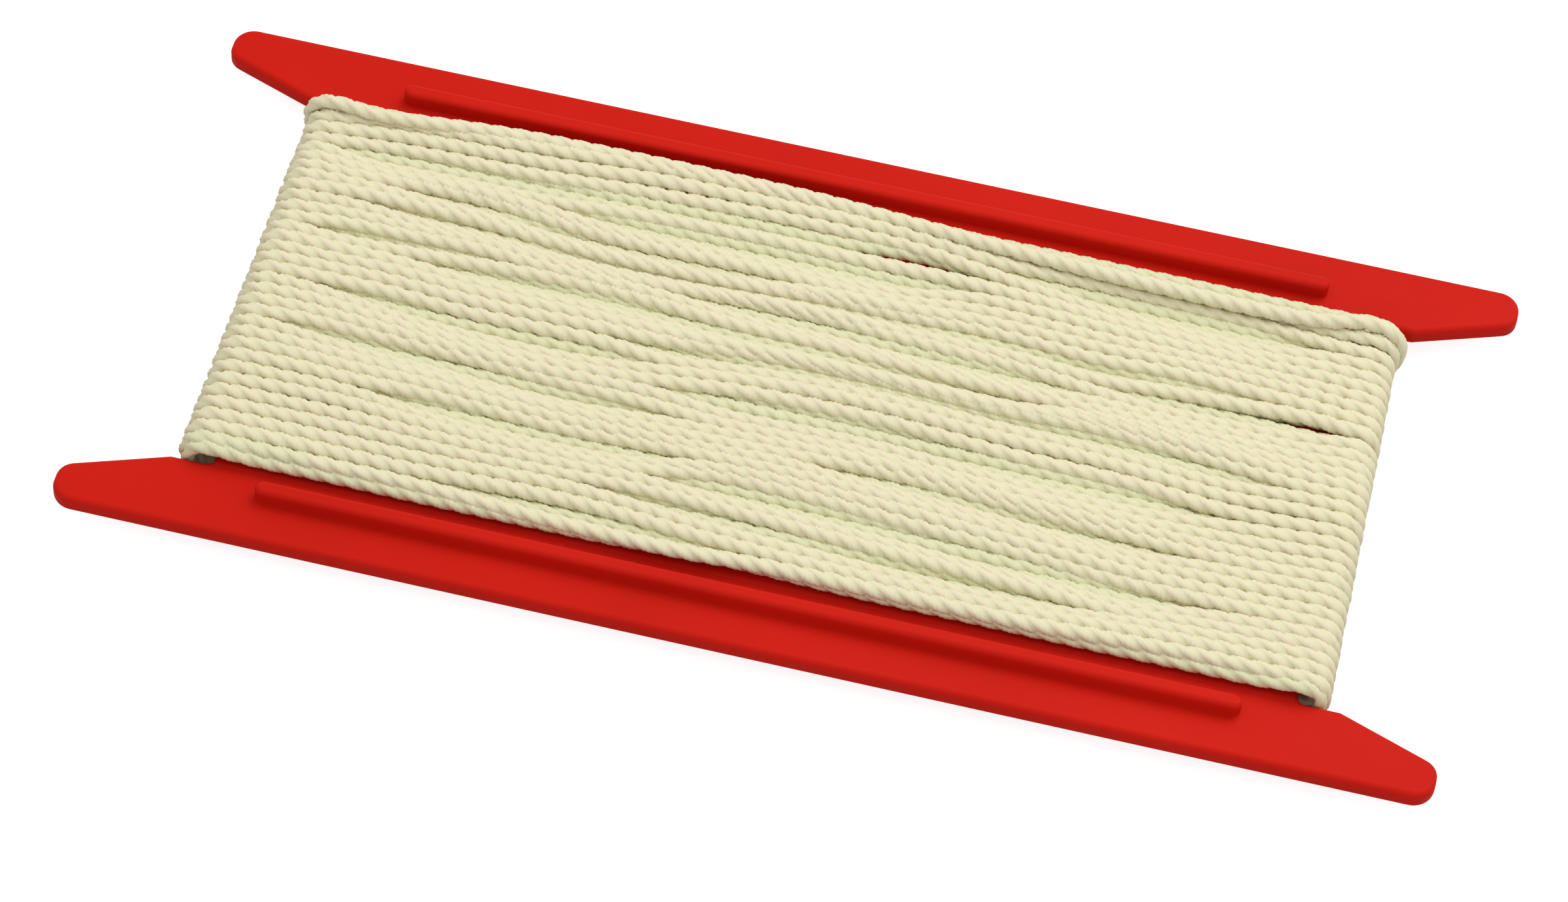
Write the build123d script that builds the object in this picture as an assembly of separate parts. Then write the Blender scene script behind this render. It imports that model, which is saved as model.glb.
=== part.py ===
from build123d import *
import os

# String reel: a flat H-shaped plastic winder with a twisted cotton string wound round its web.
#
# Frame: X along the reel, Y across it, Z up. The origin is on the surface that the reel lies on,
# below the middle of the web. Lengths are in millimetres.

# The moulding
LENGTH = 200.0            # horn tip to horn tip
WIDTH = 94.0              # outer edge to outer edge
PLATE = 3.0               # thickness of the web, the rails and the horns
EDGE_RADIUS = 0.9         # rounding of every outer edge
WEB_LENGTH = 158.0        # the web ends inside the notches, under the string
SEAT_WIDTH = 70.8         # between the rails, where the string lies
SEAT_CORNER_RADIUS = 1.2  # where the web's end meets a rail
HORN_TIP = 6.1            # width of a horn at its tip
HORN_SLOPE = 0.372        # how fast a horn's inner edge runs outward
TIP_OUTER_RADIUS = 3.2
TIP_INNER_RADIUS = 2.7

# The bead along each face of each rail, which keeps the string off the rail
BEAD_LENGTH = 143.0
BEAD_WIDTH = 2.4
BEAD_HEIGHT = 2.6
BEAD_INSET = 6.5          # from the rail's outer edge to the bead
BEAD_TOP_RADIUS = 0.8

# The wound string
WINDING_LENGTH = 168.0
PILE = 3.6                # depth of string on each face of the web
PILE_RADIUS = 2.2         # rounding of the winding's long edges and its turns round the web's ends
LAST_TURN_START = 24.0    # from here to the right end, the last turn lies on the others
LAST_TURN_Y = 31.6
LAST_TURN_WIDTH = 4.0
LAST_TURN_RISE = 1.8

PLATE_BOTTOM = PILE
PLATE_TOP = PILE + PLATE
SEAT_Y = SEAT_WIDTH / 2


def moulding():
    """The whole H-shaped moulding without its beads."""
    horn_y = WIDTH / 2 - HORN_TIP
    horn_root_x = LENGTH / 2 - (horn_y - SEAT_Y) / HORN_SLOPE
    plate = Rectangle(LENGTH, WIDTH)
    for side in (1, -1):
        notch = Polygon(
            (side * WEB_LENGTH / 2, -SEAT_Y),
            (side * horn_root_x, -SEAT_Y),
            (side * LENGTH / 2, -horn_y),
            (side * LENGTH / 2, horn_y),
            (side * horn_root_x, SEAT_Y),
            (side * WEB_LENGTH / 2, SEAT_Y),
            align=None,
        )
        plate -= notch
    corners = plate.vertices()
    outer_tips = corners.filter_by(lambda v: abs(abs(v.Y) - WIDTH / 2) < 0.01)
    inner_tips = corners.filter_by(
        lambda v: abs(abs(v.Y) - horn_y) < 0.01 and abs(abs(v.X) - LENGTH / 2) < 0.01
    )
    seat_corners = corners.filter_by(lambda v: abs(abs(v.X) - WEB_LENGTH / 2) < 0.01)
    plate = fillet(outer_tips, TIP_OUTER_RADIUS)
    plate = fillet(same_places(plate, inner_tips), TIP_INNER_RADIUS)
    plate = fillet(same_places(plate, seat_corners), SEAT_CORNER_RADIUS)
    body = extrude(Pos(0, 0, PLATE_BOTTOM) * plate, PLATE)
    rims = body.faces().filter_by(Axis.Z).edges()
    return fillet(rims, EDGE_RADIUS)


def same_places(shape, wanted):
    """The shape's vertices that lie where the wanted ones do."""
    places = [(v.X, v.Y) for v in wanted]
    return shape.vertices().filter_by(
        lambda v: any(abs(v.X - x) < 0.01 and abs(v.Y - y) < 0.01 for x, y in places)
    )


def between(low, high):
    """A block as long and as high as needed, that spans low to high across the reel."""
    return Pos(0, (low + high) / 2, PLATE_BOTTOM + PLATE / 2) * Box(2 * LENGTH, high - low, 2 * PLATE)


def bead(side, face):
    """One bead: side is 1 for the far rail and -1 for the near one, face 1 for the top."""
    y = side * (WIDTH / 2 - BEAD_INSET - BEAD_WIDTH / 2)
    foot = PLATE_TOP if face > 0 else PLATE_BOTTOM - BEAD_HEIGHT
    outline = SlotOverall(BEAD_LENGTH, BEAD_WIDTH)
    bar = extrude(Pos(0, y, foot) * outline, BEAD_HEIGHT)
    crown = bar.faces().sort_by(Axis.Z)[-1 if face > 0 else 0]
    return fillet(crown.edges(), BEAD_TOP_RADIUS)


def winding(body):
    """The outer shape of the wound string: a sleeve round the web, with the last turn proud."""
    height = PLATE + 2 * PILE
    sleeve = Pos(0, 0, height / 2) * Box(WINDING_LENGTH, SEAT_WIDTH, height)
    sleeve = fillet(sleeve.edges().filter_by(Axis.Y), PILE_RADIUS)
    sleeve = fillet(sleeve.edges().filter_by(Axis.X), PILE_RADIUS / 2)
    run = WINDING_LENGTH / 2 - PILE_RADIUS - LAST_TURN_START
    ridge = Box(run, LAST_TURN_WIDTH, 2 * LAST_TURN_RISE)
    ridge = fillet(ridge.edges().filter_by(Axis.X), LAST_TURN_RISE * 0.9)
    ridge = Pos(LAST_TURN_START + run / 2, LAST_TURN_Y, height) * ridge
    return (sleeve + ridge) - body


body = moulding()
nodes = {
    "web_panel": body & between(-SEAT_Y, SEAT_Y),
    "near_rail": body & between(-WIDTH, -SEAT_Y),
    "far_rail": body & between(SEAT_Y, WIDTH),
    "near_top_bead": bead(-1, 1),
    "far_top_bead": bead(1, 1),
    "near_bottom_bead": bead(-1, -1),
    "far_bottom_bead": bead(1, -1),
    "string_winding": winding(body),
}

os.makedirs("parts", exist_ok=True)
for name, shape in nodes.items():
    export_step(shape, f"parts/{name}.step")
    print(f"{name}: {shape.volume:.1f} mm3, {len(shape.solids())} solid")
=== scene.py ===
"""Looks of the string reel.

The red moulding keeps its CAD pieces, with a plastic material. The string is one long twisted cotton
cord that is wound on it in two layers, with one last turn across them.
"""
import math

import bpy
import numpy as np
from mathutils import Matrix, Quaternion, Vector


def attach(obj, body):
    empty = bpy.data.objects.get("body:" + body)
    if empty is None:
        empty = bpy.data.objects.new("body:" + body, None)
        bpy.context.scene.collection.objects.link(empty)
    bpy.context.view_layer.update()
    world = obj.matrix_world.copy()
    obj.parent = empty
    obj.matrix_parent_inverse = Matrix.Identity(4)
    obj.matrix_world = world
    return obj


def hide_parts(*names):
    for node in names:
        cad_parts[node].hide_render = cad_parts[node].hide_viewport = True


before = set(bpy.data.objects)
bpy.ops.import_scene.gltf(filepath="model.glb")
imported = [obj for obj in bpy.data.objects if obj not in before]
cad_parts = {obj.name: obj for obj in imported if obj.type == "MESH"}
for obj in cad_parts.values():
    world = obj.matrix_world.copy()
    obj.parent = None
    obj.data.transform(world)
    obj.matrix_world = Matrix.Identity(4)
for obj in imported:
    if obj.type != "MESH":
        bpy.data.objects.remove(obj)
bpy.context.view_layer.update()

MM = 0.001

# ---------------------------------------------------------------- the string's route
# Lengths in this section are in millimetres, in the frame of the CAD model.

PLATE_MIDDLE = 5.1       # height of the web's middle plane
PLATE_HALF = 1.5         # half the web's thickness
WRAP_RIGHT = 79.4        # centre of the turns' arcs round the web's right end
WRAP_LEFT = 80.5         # the same at its left end
WRAP_RISE = 0.6          # the arcs' centres lie this far above and below the middle plane

STRING_WIDTH = 2.2
LEVEL = 1.3              # each layer lies this much further out than the one inside it
FIRST_LEVEL = 1.1        # centre of the inner layer above the web's face

INNER_TURNS = 33
INNER_EDGE = 34.2        # centre of the outermost inner turn
OUTER_TURNS = 31
TURN_LEAN = 0.2          # how far a turn moves sideways as it goes round an end

RUN_STATIONS = np.linspace(-73.0, 73.0, 15)      # x of a run's control points along a face
RUN_END = 84.0                                   # x of the winding's two ends

# How far a hand-wound string wanders about its place, as a standard deviation.
INNER_SIDEWAYS = 0.06
OUTER_SIDEWAYS = 0.07
UNDER_SIDEWAYS = 0.12
INNER_HEIGHT = 0.04
OUTER_HEIGHT = 0.06
UNDER_HEIGHT = 0.05


def smooth(t):
    """0 to 1 with level ends."""
    t = np.clip(t, 0.0, 1.0)
    return t * t * (3.0 - 2.0 * t)


def window(x, start, end, fade):
    """1 between start and end, falling to 0 over fade at both ends."""
    return smooth((x - start + fade) / fade) * smooth((end + fade - x) / fade)


def level_height(level):
    """Height above the middle plane of a level's centre; 1 is the inner layer and 2 the outer."""
    return PLATE_HALF + FIRST_LEVEL + LEVEL * (level - 1)


# How the turns give way to the partings between them.
PARTING_STEP = 14.0      # a parting is held to its line at points about this far apart
PARTING_SPREAD = 3.0     # turns this many places away are pushed aside by about a third as much
SAG_SHARE = 0.2          # a turn at a parting's brink sags by this share of the parting's width
SAG_SPREAD = 0.7         # and its neighbours by less, over about this many turns
OUTER_FADE = 10.0        # a parting closes over this length past its two ends
INNER_FADE = 5.0

# The outer layer on the upper face. Turns are counted from the near edge, and gap n lies between
# turns n - 1 and n. Where turns part, the layer below shows. Each parting has the gap's number,
# how wide it opens, and the points (x, y) that it runs through.
OUTER_PARTINGS = (
    (1, 1.7, (-36.0, -31.7), (-14.0, -31.8)),
    (3, 2.0, (-16.0, -26.6), (40.0, -28.2)),
    (5, 2.8, (-12.0, -22.3), (8.0, -22.4), (28.0, -24.2), (56.0, -24.9)),
    (7, 2.4, (-54.0, -17.9), (-20.0, -19.6)),
    (9, 2.2, (12.0, -14.2), (50.0, -16.6)),
    (11, 2.5, (-68.0, -9.3), (-44.0, -10.7), (-26.0, -11.5)),
    (13, 2.6, (-12.0, -5.7), (8.0, -5.8), (28.0, -7.3), (54.0, -8.1)),
    (15, 2.4, (-66.0, -1.3), (-48.0, -2.5), (-30.0, -3.4)),
    (16, 2.2, (-24.0, 1.9), (8.0, 2.7), (28.0, 1.7), (64.0, -0.2)),
    (19, 2.4, (-56.0, 7.9), (-28.0, 7.1), (30.0, 5.1)),
    (20, 1.7, (-72.0, 9.7), (-54.0, 10.1)),
    (21, 2.9, (-16.0, 12.1), (8.0, 10.9), (30.0, 9.1)),
    (22, 2.1, (48.0, 11.3), (77.0, 11.1)),
    (23, 2.1, (-66.0, 15.9), (-28.0, 14.5), (28.0, 13.2), (58.0, 14.1)),
    (25, 2.3, (-60.0, 19.9), (-44.0, 18.5), (-26.0, 17.3), (-10.0, 18.0)),
    (27, 2.7, (-36.0, 22.3), (-14.0, 22.3), (10.0, 22.9)),
    (28, 2.5, (-72.0, 25.2), (-56.0, 24.1), (-28.0, 25.4), (14.0, 26.2)),
    (29, 2.8, (36.0, 27.8), (46.0, 26.6), (64.0, 26.1)),
)

# Under two of them the inner layer parts too, and the red web shows.
INNER_PARTINGS = (
    (29, 2.2, (8.0, 27.1), (13.0, 27.1)),
    (22, 1.9, (75.0, 12.2), (78.0, 12.1)),
)

# The lines, through points (x, y), that each layer's nearest and furthest turns follow.
OUTER_NEAR = ((-RUN_END, -33.0), (RUN_END, -33.0))
OUTER_FAR = (
    (-RUN_END, 30.8), (-56.0, 32.1), (-30.0, 32.8), (0.0, 32.4), (30.0, 30.8), (RUN_END, 29.8),
)
INNER_NEAR = ((-RUN_END, -INNER_EDGE), (RUN_END, -INNER_EDGE))
INNER_FAR = ((-RUN_END, INNER_EDGE), (RUN_END, INNER_EDGE))

# The string starts on the lower face, under the outer layer, at these x.
START_STATIONS = (58.0, 45.0, 30.0, 15.0, 0.0, -15.0, -30.0, -45.0, -60.0, -73.0)

# The nearest inner turn is squeezed up by the ones beside it. It stands out at the winding's near
# corners, which makes them square, and climbs onto the inner layer along the lower face.
SQUEEZED_LEVEL = 1.3
CORNER_LEVEL = 1.8
CLIMB_START_LEVEL = 1.4
CLIMB_END_Y = -33.2
DIVE = (-6.0, -4.0, 10.0)      # it dives in under its neighbour from x to x, with this fade
DIVE_DEPTH = 0.9

# The furthest outer turn is raised at the right end, where it carries the last turn.
CARRYING_LEVEL = 2.5
FURTHEST_UNDER_Y = 33.8
# The last turn goes round the left and the right end as (y from, y to, level from, level to).
LAST_LEFT_WRAP = (33.6, 32.2, 2.0, 3.35)
LAST_RIGHT_WRAP = (31.7, 31.5, 3.6, 2.0)
# The last turn on the upper face, as (x, y, level). It crosses the far edge of the winding, lies
# beside it, and climbs back on it towards the right end.
LAST_TURN = (
    (-74.0, 31.6, 3.12), (-66.0, 32.6, 2.78), (-58.0, 33.9, 2.34), (-50.0, 34.6, 2.12),
    (-40.0, 34.8, 2.06), (-28.0, 34.9, 2.06), (-16.0, 34.8, 2.06), (-6.0, 34.5, 2.12),
    (4.0, 33.8, 2.23), (14.0, 32.8, 2.56), (24.0, 31.8, 2.90), (36.0, 31.0, 3.01),
    (50.0, 30.6, 3.01), (62.0, 30.3, 3.01), (72.0, 30.5, 3.12),
)
# On the lower face its tail tucks in under the outer turns.
TAIL = (
    (73.0, 33.0, 2.0), (62.0, 33.9, 2.0), (50.0, 34.1, 2.0), (38.0, 33.9, 1.9),
    (28.0, 33.2, 1.7), (18.0, 32.3, 1.5), (8.0, 31.4, 1.4),
)


def line_at(points, x):
    """y at each x of the straight pieces through the points."""
    points = np.array(points)
    return np.interp(x, points[:, 0], points[:, 1])


class Layer:
    """Places turns across the reel so that the gaps follow the partings.

    The turns are spread evenly between the near and the far line. Each parting then pulls the
    turns about it to its own line, less and less with distance, and pushes its two sides apart.
    """

    REACH = (26.0, 3.0)      # how far a pull carries: along a turn, and across in turns
    SMOOTHING = 0.08

    def __init__(self, turns, near, far, partings, fade):
        self.turns = turns
        self.near = near
        self.far = far
        self.partings = partings
        self.fade = fade
        samples = []
        for gap, width, *points in partings:
            start, end = points[0][0], points[-1][0]
            for x in np.linspace(start, end, max(2, int((end - start) / PARTING_STEP) + 1)):
                wanted = line_at(points, x)
                samples.append((x, gap - 0.5, wanted - self.even(gap - 0.5, x)))
        for x in np.linspace(-RUN_END, RUN_END, 9):
            samples.append((x, 0.0, 0.0))
            samples.append((x, turns - 1.0, 0.0))
        samples = np.array(samples)
        self.known = samples[:, :2]
        shared = self.kernel(self.known[:, None, :], self.known[None, :, :])
        self.pull = np.linalg.solve(shared + self.SMOOTHING * np.eye(len(samples)), samples[:, 2])

    def even(self, number, x):
        """y of a turn before anything pulls on it."""
        near = line_at(self.near, x)
        far = line_at(self.far, x)
        return near + (far - near) * number / (self.turns - 1)

    def kernel(self, a, b):
        """How much of a pull at one place is felt at another, from 0 to 1."""
        apart = ((a - b) / np.array(self.REACH)) ** 2
        return np.exp(-0.5 * apart.sum(-1))

    def place(self, number, x):
        """y of a turn at each x."""
        x = np.asarray(x, float)
        y = self.even(number, x)
        here = np.stack([x, np.full(x.shape, float(number))], axis=-1)
        y = y + self.kernel(here[..., None, :], self.known) @ self.pull
        for gap, width, *points in self.partings:
            away = number - (gap - 0.5)
            share = math.exp(-(abs(away) - 0.5) / PARTING_SPREAD)
            push = 0.5 * width * share * math.copysign(1.0, away)
            y = y + push * window(x, points[0][0], points[-1][0], self.fade)
        return y

    def sink(self, number, x):
        """How far a turn sags where it borders on a parting."""
        sag = np.zeros(len(x))
        for gap, width, *points in self.partings:
            beside = math.exp(-(abs(number - (gap - 0.5)) - 0.5) / SAG_SPREAD)
            opened = width * window(x, points[0][0], points[-1][0], self.fade)
            sag = np.maximum(sag, SAG_SHARE * beside * opened)
        return sag


outer_layer = Layer(OUTER_TURNS, OUTER_NEAR, OUTER_FAR, OUTER_PARTINGS, OUTER_FADE)
inner_layer = Layer(INNER_TURNS, INNER_NEAR, INNER_FAR, INNER_PARTINGS, INNER_FADE)

# Corners of half an octagon round a circle of radius 1, as (outward, up), from above to below.
OCTAGON = ((-0.414, 1.0), (0.414, 1.0), (1.0, 0.414), (1.0, -0.414), (0.414, -1.0), (-0.414, -1.0))


def wrap(side, y_start, y_end, level_start, level_end, upward):
    """The string's way round one end of the web.

    side is 1 at the right end and -1 at the left. upward says that it comes from the lower face.
    """
    route = []
    middle = WRAP_RIGHT if side > 0 else WRAP_LEFT
    steps = OCTAGON[::-1] if upward else OCTAGON
    for i, (out, up) in enumerate(steps):
        share = i / (len(steps) - 1)
        level = level_start + (level_end - level_start) * share
        radius = level_height(level) - WRAP_RISE
        rise = math.copysign(WRAP_RISE, up)
        route.append((
            side * (middle + radius * out),
            y_start + (y_end - y_start) * share,
            PLATE_MIDDLE + rise + radius * up,
        ))
    return route


def run(xs, ys, level, face, wander):
    """A run along a face; face is 1 above and -1 below."""
    heights = level_height(level) + wander
    return [(x, y, PLATE_MIDDLE + face * height) for x, y, height in zip(xs, ys, heights)]


def string_route():
    """The whole string's control points, from its start to its tail."""
    draw = np.random.default_rng(11)
    route = []
    xs = RUN_STATIONS

    def wander(size):
        return draw.normal(0.0, size, len(xs))

    def under(y_from, y_to, level_from, level_to):
        """Back along the lower face, from the right end to the left end."""
        back = xs[::-1]
        share = (xs[-1] - back) / (xs[-1] - xs[0])
        bends = np.r_[0, draw.normal(0, UNDER_SIDEWAYS, 4), 0]
        sway = np.interp(share, np.linspace(0, 1, len(bends)), bends)
        level = level_from + (level_to - level_from) * share
        return run(back, y_from + (y_to - y_from) * share + sway, level, -1, wander(UNDER_HEIGHT))

    route += [
        (x, INNER_EDGE - 2 * TURN_LEAN, PLATE_MIDDLE - level_height(1)) for x in START_STATIONS
    ]
    inner_places = [
        inner_layer.place(INNER_TURNS - 1 - i, xs) + draw.normal(0, INNER_SIDEWAYS, len(xs))
        for i in range(INNER_TURNS)
    ]
    route += wrap(-1, INNER_EDGE - TURN_LEAN, inner_places[0][0], 1, 1, True)
    outer_places = [
        outer_layer.place(i, xs) + draw.normal(0, OUTER_SIDEWAYS, len(xs)) for i in range(OUTER_TURNS)
    ]
    outer_left = [float(outer_layer.place(i, -RUN_END)) for i in range(OUTER_TURNS)]
    outer_right = [float(outer_layer.place(i, RUN_END)) for i in range(OUTER_TURNS)]
    inner_places[-1] = inner_places[-1] + DIVE_DEPTH * window(xs, *DIVE)
    for i, ys in enumerate(inner_places):
        nearest = i == INNER_TURNS - 1
        route += run(xs, ys, SQUEEZED_LEVEL if nearest else 1, 1, wander(INNER_HEIGHT))
        if nearest:
            route += wrap(1, ys[-1], ys[-1], CORNER_LEVEL, CLIMB_START_LEVEL, False)
            route += under(ys[-1], CLIMB_END_Y, 1, 2)
            route += wrap(-1, CLIMB_END_Y, outer_left[0], 2, 2, True)
        else:
            next_left = inner_places[i + 1][0]
            next_level = CORNER_LEVEL if i == INNER_TURNS - 2 else 1
            route += wrap(1, ys[-1], ys[-1] - TURN_LEAN, 1, 1, False)
            route += under(ys[-1] - TURN_LEAN, next_left + TURN_LEAN, 1, 1)
            route += wrap(-1, next_left + TURN_LEAN, next_left, 1, next_level, True)
    for i, ys in enumerate(outer_places):
        route += run(xs, ys, 2, 1, wander(OUTER_HEIGHT) - outer_layer.sink(i, xs))
        right = outer_right[i]
        if i == OUTER_TURNS - 1:
            route += wrap(1, right, right + TURN_LEAN, CARRYING_LEVEL, 2, False)
            route += under(right + TURN_LEAN, FURTHEST_UNDER_Y, 2, 2)
            route += wrap(-1, *LAST_LEFT_WRAP, True)
        else:
            next_left = outer_left[i + 1]
            route += wrap(1, right, right + TURN_LEAN, 2, 2, False)
            route += under(right + TURN_LEAN, next_left - TURN_LEAN, 2, 2)
            route += wrap(-1, next_left - TURN_LEAN, next_left, 2, 2, True)
    route += [(x, y, PLATE_MIDDLE + level_height(level)) for x, y, level in LAST_TURN]
    route += wrap(1, *LAST_RIGHT_WRAP, False)
    route += [(x, y, PLATE_MIDDLE - level_height(level)) for x, y, level in TAIL]
    return route


# The line through the control points, read from a NURBS curve that is then removed.
route = string_route()
curve = bpy.data.curves.new("string_route", "CURVE")
curve.dimensions = "3D"
curve.resolution_u = 6
spline = curve.splines.new("NURBS")
spline.points.add(len(route) - 1)
for point, place in zip(spline.points, route):
    point.co = (*(Vector(place) * MM), 1.0)
spline.order_u = 3
spline.use_endpoint_u = True
guide = bpy.data.objects.new("string_guide", curve)
read = bpy.data.meshes.new_from_object(guide)
line = np.array([v.co for v in read.vertices])
bpy.data.meshes.remove(read)
bpy.data.objects.remove(guide)
bpy.data.curves.remove(curve)

# ---------------------------------------------------------------- the string's surface
PLIES = 3
AROUND = 12              # corners of a section, four to a ply
PLY_PITCH = 9.2 * MM     # length of one full twist
VALLEY = 0.73            # radius of the groove between plies, against that of their crests
LOBE_POWER = 0.65        # below 1 the plies are fuller and the grooves between them narrower
SQUASH_ACROSS = 1.2      # turns are pressed flat, wider than a free string
SQUASH_UP = 0.95         # and less high
RING_STEP = PLY_PITCH / AROUND
END_ROUNDING = 1.2 * MM  # the string closes over this length at each end

along = np.concatenate([[0.0], np.cumsum(np.linalg.norm(np.diff(line, axis=0), axis=1))])
string_length = along[-1]
rings = int(round(string_length / RING_STEP)) + 1
at = np.linspace(0.0, string_length, rings)
centres = np.stack([np.interp(at, along, line[:, k]) for k in range(3)], axis=1)
# At each ring: along the string, sideways across the reel, and at right angles to both.
forward = np.gradient(centres, axis=0)
forward /= np.linalg.norm(forward, axis=1)[:, None]
across = np.array([0.0, 1.0, 0.0]) - forward[:, 1:2] * forward
across /= np.linalg.norm(across, axis=1)[:, None]
upward = np.cross(forward, across)


def slow_noise(seed, spacing, size):
    """Random values, one per ring, that change evenly between knots this far apart."""
    draw = np.random.default_rng(seed)
    knots = np.arange(0.0, string_length + 2 * spacing, spacing)
    return np.interp(at, knots, draw.normal(0.0, size, len(knots)))


corner = np.arange(AROUND) * 2 * math.pi / AROUND
lobe = np.abs(np.cos(PLIES * corner / 2)) ** LOBE_POWER
profile = 0.5 * STRING_WIDTH * MM * (VALLEY + (1.0 - VALLEY) * lobe)
twist = 2 * math.pi * at / PLY_PITCH + np.cumsum(slow_noise(seed=5, spacing=0.03, size=0.02))
swell = 1.0 + slow_noise(seed=6, spacing=0.025, size=0.03)
to_end = np.minimum(at, string_length - at)
swell *= np.sqrt(np.clip(to_end / END_ROUNDING, 0.001, 1.0))
angle = corner[None, :] + twist[:, None]
radius = profile[None, :] * swell[:, None]
sideways = (radius * SQUASH_ACROSS * np.cos(angle))[..., None] * across[:, None, :]
outward = (radius * SQUASH_UP * np.sin(angle))[..., None] * upward[:, None, :]
points = (centres[:, None, :] + sideways + outward).reshape(-1, 3)
ring = np.arange(rings - 1)[:, None] * AROUND
here = np.arange(AROUND)[None, :]
there = (here + 1) % AROUND
next_ring = ring + AROUND
corners_of_faces = [ring + here, ring + there, next_ring + there, next_ring + here]
faces = np.stack(corners_of_faces, axis=-1).reshape(-1, 4)

mesh = bpy.data.meshes.new("string")
mesh.vertices.add(len(points))
mesh.vertices.foreach_set("co", points.astype(np.float32).ravel())
mesh.loops.add(faces.size)
mesh.loops.foreach_set("vertex_index", faces.astype(np.int32).ravel())
mesh.polygons.add(len(faces))
mesh.polygons.foreach_set("loop_start", np.arange(0, faces.size, 4, dtype=np.int32))
mesh.polygons.foreach_set("use_smooth", np.ones(len(faces), dtype=bool))
mesh.update(calc_edges=True)
mesh.validate()
string = bpy.data.objects.new("string", mesh)
bpy.context.scene.collection.objects.link(string)
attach(string, "root")
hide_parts("string_winding")


def lay_map(name, start, end, low, high):
    """Adds a UV layer; faces run from start to end along the string, and low to high round it."""
    start, end, low, high = np.broadcast_arrays(start, end, low, high)
    pairs = ((start, low), (start, high), (end, high), (end, low))
    corners = np.stack([np.stack(pair, axis=-1) for pair in pairs], axis=-2)
    layer = mesh.uv_layers.new(name=name)
    layer.data.foreach_set("uv", corners.astype(np.float32).ravel())


# The patterns on the string use a map in millimetres. A second map cuts the string
# into rows, one above the other in a square.
GIRTH = 6.9              # distance round the string, in millimetres
BAKE_ROWS = 60
ROW_MARGIN = 0.02        # share of a row's height that is left free on each side
lay_map(
    "string_map", at[:-1, None] / MM, at[1:, None] / MM,
    GIRTH * here / AROUND, GIRTH * (here + 1) / AROUND,
)
per_row = math.ceil((rings - 1) / BAKE_ROWS)
row, in_row = np.divmod(np.arange(rings - 1)[:, None], per_row)
row_share = (1.0 - 2.0 * ROW_MARGIN) / AROUND
lay_map(
    "OFBake", in_row / per_row, (in_row + 1) / per_row,
    (row + ROW_MARGIN + row_share * here) / BAKE_ROWS,
    (row + ROW_MARGIN + row_share * (here + 1)) / BAKE_ROWS,
)
# Painted shade, from 0 to 1, for how deep a point lies: in a groove between plies, in the inner
# layer, or both.
GROOVE_PAINTED_SHADE = 0.8
INNER_PAINTED_SHADE = 0.8
inner_share = INNER_TURNS / (INNER_TURNS + OUTER_TURNS + 1)
in_inner = at / string_length < inner_share
depth = np.clip(GROOVE_PAINTED_SHADE * (1.0 - lobe)[None, :] + INNER_PAINTED_SHADE * in_inner[:, None], 0.0, 1.0)
attribute = mesh.attributes.new("depth", "FLOAT", "POINT")
attribute.data.foreach_set("value", depth.astype(np.float32).ravel())


# ---------------------------------------------------------------- materials
class Nodes:
    """Builds one material's nodes."""

    def __init__(self, name, colour, **values):
        self.material = bpy.data.materials.new(name)
        self.material.use_nodes = True
        self.tree = self.material.node_tree
        self.shader = self.tree.nodes["Principled BSDF"]
        self.shader.inputs["Base Color"].default_value = (*colour, 1.0)
        for socket, value in values.items():
            self.shader.inputs[socket.replace("_", " ")].default_value = value

    def add(self, kind, settings=(), **inputs):
        """A new node of this kind, with its settings and its inputs, each a value or a link."""
        node = self.tree.nodes.new("ShaderNode" + kind)
        for key, value in dict(settings).items():
            setattr(node, key, value)
        for socket, value in inputs.items():
            self.feed(node.inputs[socket.replace("_", " ")], value)
        return node

    def feed(self, socket, value):
        if isinstance(value, bpy.types.NodeSocket):
            self.tree.links.new(value, socket)
        else:
            socket.default_value = value

    def noise(self, vector, scale, detail=3.0, stretch=(1.0, 1.0, 1.0)):
        """Noise with features of about 1 / scale; a smaller stretch makes them longer that way."""
        placed = self.add("Mapping", Vector=vector, Scale=stretch)
        node = self.add(
            "TexNoise", Vector=placed.outputs["Vector"], Scale=scale, Detail=detail, Roughness=0.55
        )
        return node.outputs["Fac"]

    def ramp(self, factor, low, high):
        """Stretches low..high of a factor to 0..1."""
        node = self.add("MapRange", Value=factor, From_Min=low, From_Max=high)
        return node.outputs["Result"]

    def spread(self, factor, low, high):
        """Turns a factor of 0..1 to low..high."""
        node = self.add("MapRange", Value=factor, To_Min=low, To_Max=high)
        return node.outputs["Result"]

    def mix(self, factor, first, second):
        """A blend of two colours, from the first at 0 to the second at 1."""
        node = self.add("Mix", {"data_type": "RGBA"})
        self.feed(node.inputs["Factor"], factor)
        for socket, colour in ((node.inputs[6], first), (node.inputs[7], second)):
            self.feed(socket, colour if isinstance(colour, bpy.types.NodeSocket) else (*colour, 1.0))
        return node.outputs[2]

    def bump(self, height, distance, strength=1.0, normal=None):
        """A bumped normal, on top of another one where it is given."""
        node = self.add("Bump", Height=height, Distance=distance, Strength=strength)
        if normal is not None:
            self.feed(node.inputs["Normal"], normal)
        return node.outputs["Normal"]


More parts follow.
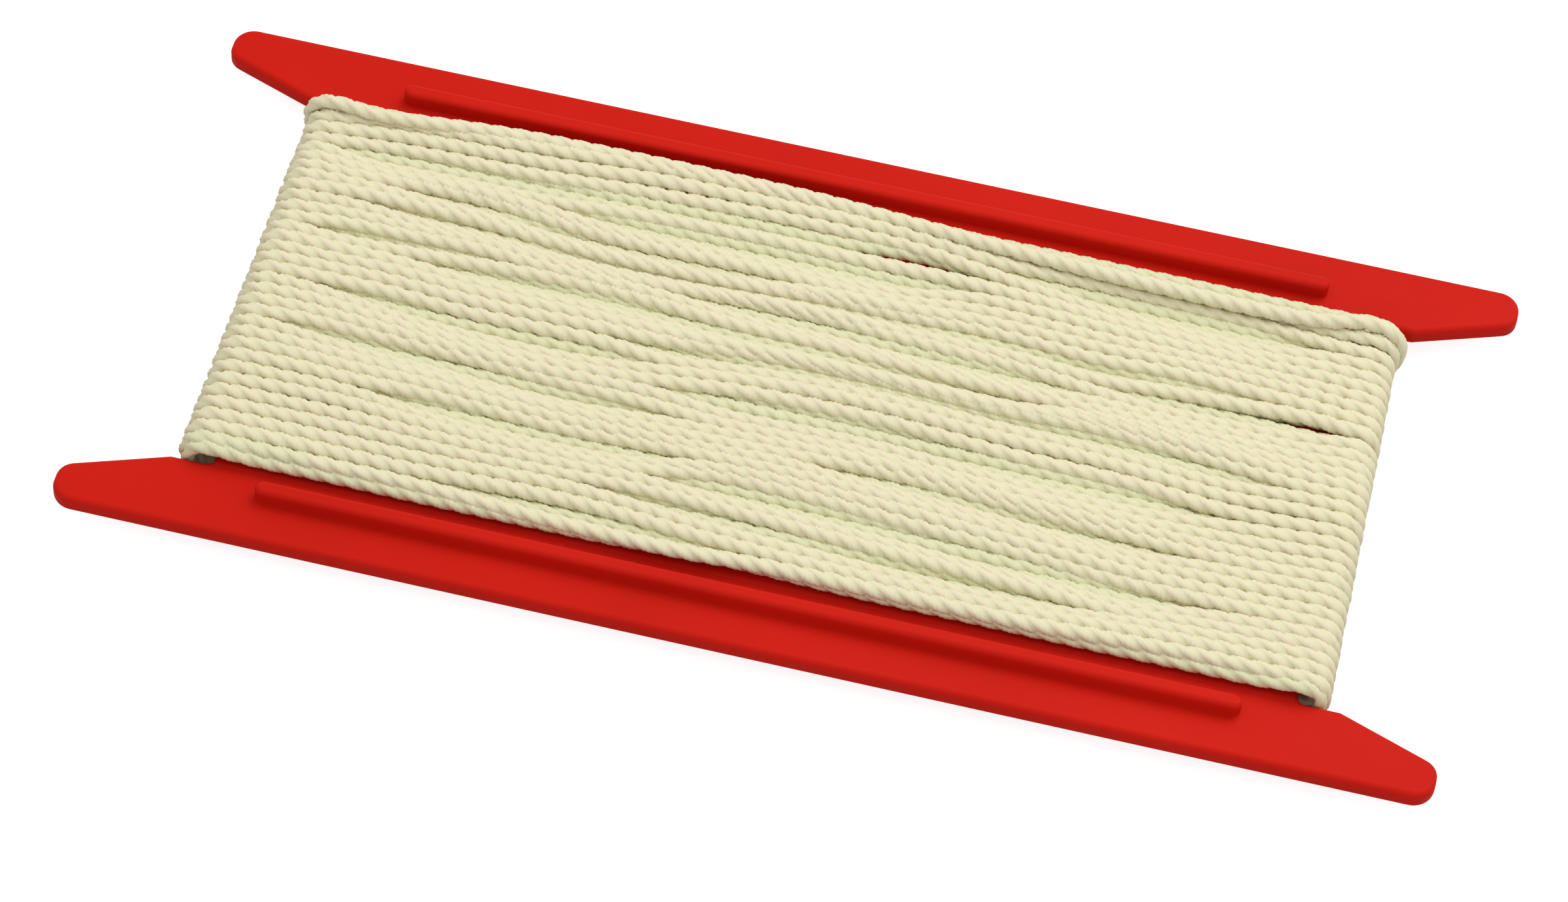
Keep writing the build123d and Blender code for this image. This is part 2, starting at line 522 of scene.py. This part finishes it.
def red_plastic():
    """Injection-moulded plastic: faint clouding, an orange-peel skin and slightly paler edges, which
    are edge wear and a painted highlight.
    """
    n = Nodes("red_plastic", RED, Roughness=0.45, Specular_IOR_Level=0.05)
    place = n.add("TexCoord").outputs["Object"]
    cloud = n.noise(place, 22.0, 4.0)
    streak = n.noise(place, 90.0, 3.0, (0.25, 1.0, 1.0))
    clouded = n.mix(n.ramp(cloud, 0.3, 0.7), RED_DEEP, RED)
    streaked = n.mix(n.spread(n.ramp(streak, 0.45, 0.8), 0.0, 0.25), clouded, RED_DEEP)
    # Painted highlight: the red turns paler along the rounded edges, where light glints, and this
    # also stands for edge wear.
    soft_edge = n.add("Bevel", {"samples": 4}, Radius=0.7 * MM)
    facing = n.add("VectorMath", {"operation": "DOT_PRODUCT"})
    n.feed(facing.inputs[0], soft_edge.outputs["Normal"])
    n.feed(facing.inputs[1], n.add("NewGeometry").outputs["Normal"])
    edge_wear_and_highlight = n.spread(n.ramp(facing.outputs["Value"], 0.995, 0.93), 0.0, 0.3)
    n.feed(n.shader.inputs["Base Color"], n.mix(edge_wear_and_highlight, streaked, RED_WEAR_AND_HIGHLIGHT))
    skin = n.noise(place, 900.0, 2.0)
    n.feed(n.shader.inputs["Roughness"], n.spread(n.noise(place, 140.0, 4.0), 0.40, 0.54))
    waves = n.bump(n.noise(place, 45.0, 1.0), 0.25 * MM, 0.25)
    n.feed(n.shader.inputs["Normal"], n.bump(skin, 0.03 * MM, 0.5, waves))
    return n.material


def cotton():
    """Undyed cotton twine: fine fibres along each ply, and painted shade that makes the grooves and
    the inner layer darker and greener.
    """
    n = Nodes("cotton_string", COTTON, Roughness=0.92, Specular_IOR_Level=0.15)
    place = n.add("UVMap", {"uv_map": "string_map"}).outputs["UV"]
    fibre = n.noise(place, 5.0, 3.0, (0.16, 1.0, 1.0))
    fleck = n.noise(place, 0.9, 3.0)
    length = n.noise(place, 0.05, 2.0)
    painted_shade_amount = n.add("Attribute", {"attribute_name": "depth"}).outputs["Fac"]
    tinted = n.mix(n.ramp(length, 0.35, 0.65), COTTON, COTTON_WARM)
    flecked = n.mix(n.spread(n.ramp(fleck, 0.45, 0.7), 0.0, 0.35), tinted, COTTON_OLIVE_AND_SHADE)
    combed = n.mix(n.spread(n.ramp(fibre, 0.4, 0.75), 0.0, 0.3), flecked, COTTON_OLIVE_AND_SHADE)
    # Painted shade: the grooves and the inner layer are mixed towards the darker olive.
    n.feed(n.shader.inputs["Base Color"], n.mix(n.spread(painted_shade_amount, 0.0, 0.8), combed, COTTON_OLIVE_AND_SHADE))
    n.feed(n.shader.inputs["Normal"], n.bump(fibre, 0.09 * MM, 0.6))
    return n.material


RED = (0.60, 0.012, 0.005)
RED_DEEP = (0.53, 0.010, 0.004)
# Paler red for the edges: edge wear and a painted highlight.
RED_WEAR_AND_HIGHLIGHT = (0.74, 0.04, 0.022)
COTTON = (0.83, 0.75, 0.525)
COTTON_WARM = (0.83, 0.725, 0.53)
# Olive for flecks and fibres, and for the painted shade in the grooves and the inner layer.
COTTON_OLIVE_AND_SHADE = (0.71, 0.72, 0.45)

red = red_plastic()
mesh.materials.append(cotton())
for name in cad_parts:
    if name != "string_winding":
        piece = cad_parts[name]
        piece.data.materials.clear()
        piece.data.materials.append(red)

# ---------------------------------------------------------------- floor, light and camera
scene = bpy.context.scene
floor_mesh = bpy.data.meshes.new("floor")
floor_mesh.from_pydata([(-3, -3, 0), (3, -3, 0), (3, 3, 0), (-3, 3, 0)], [], [(0, 1, 2, 3)])
floor = bpy.data.objects.new("floor", floor_mesh)
scene.collection.objects.link(floor)
# The camera sees the floor lit up to white, but the reel gets only its plain bounce.
pale_floor = Nodes("pale_floor", (0.6, 0.6, 0.6), Roughness=0.9, Emission_Color=(1.0, 1.0, 1.0, 1.0))
seen = pale_floor.add("LightPath").outputs["Is Camera Ray"]
pale_floor.feed(pale_floor.shader.inputs["Emission Strength"], pale_floor.spread(seen, 0.0, 0.8))
floor_mesh.materials.append(pale_floor.material)

world = bpy.data.worlds.new("studio")
scene.world = world
world.use_nodes = True
world.node_tree.nodes["Background"].inputs["Color"].default_value = (1.0, 1.0, 1.0, 1.0)
world.node_tree.nodes["Background"].inputs["Strength"].default_value = 0.68
scene.view_settings.view_transform = "Standard"


def area_light(name, place, size, power):
    """A rectangular light that faces the reel."""
    data = bpy.data.lights.new(name, "AREA")
    data.shape = "RECTANGLE"
    data.size, data.size_y = size
    data.energy = power
    lamp = bpy.data.objects.new(name, data)
    scene.collection.objects.link(lamp)
    lamp.location = place
    lamp.rotation_mode = "QUATERNION"
    lamp.rotation_quaternion = Vector(place).to_track_quat("Z", "Y")


area_light("key", (0.35, 0.5, 0.9), (0.8, 0.7), 5.4)
area_light("overhead", (0.0, -0.15, 1.1), (1.2, 1.0), 1.8)

# The camera looks at TARGET from this direction.
AZIMUTH = math.radians(8.7236)
ELEVATION = math.radians(52.1825)
ROLL = math.radians(5.3198)
DISTANCE = 0.69710
TARGET = Vector((-0.000635, -0.010288, 0.0051))
LENS = 110.329           # focal length for a sensor 36 mm wide
toward_camera = Vector((
    math.sin(AZIMUTH) * math.cos(ELEVATION),
    -math.cos(AZIMUTH) * math.cos(ELEVATION),
    math.sin(ELEVATION),
))
camera_data = bpy.data.cameras.new("camera")
camera_data.sensor_width = 36.0
camera_data.lens = LENS
camera_data.clip_start = 0.01
camera = bpy.data.objects.new("camera", camera_data)
scene.collection.objects.link(camera)
camera.location = TARGET + toward_camera * DISTANCE
camera.rotation_mode = "QUATERNION"
camera.rotation_quaternion = toward_camera.to_track_quat("Z", "Y") @ Quaternion((0, 0, 1), ROLL)
scene.camera = camera
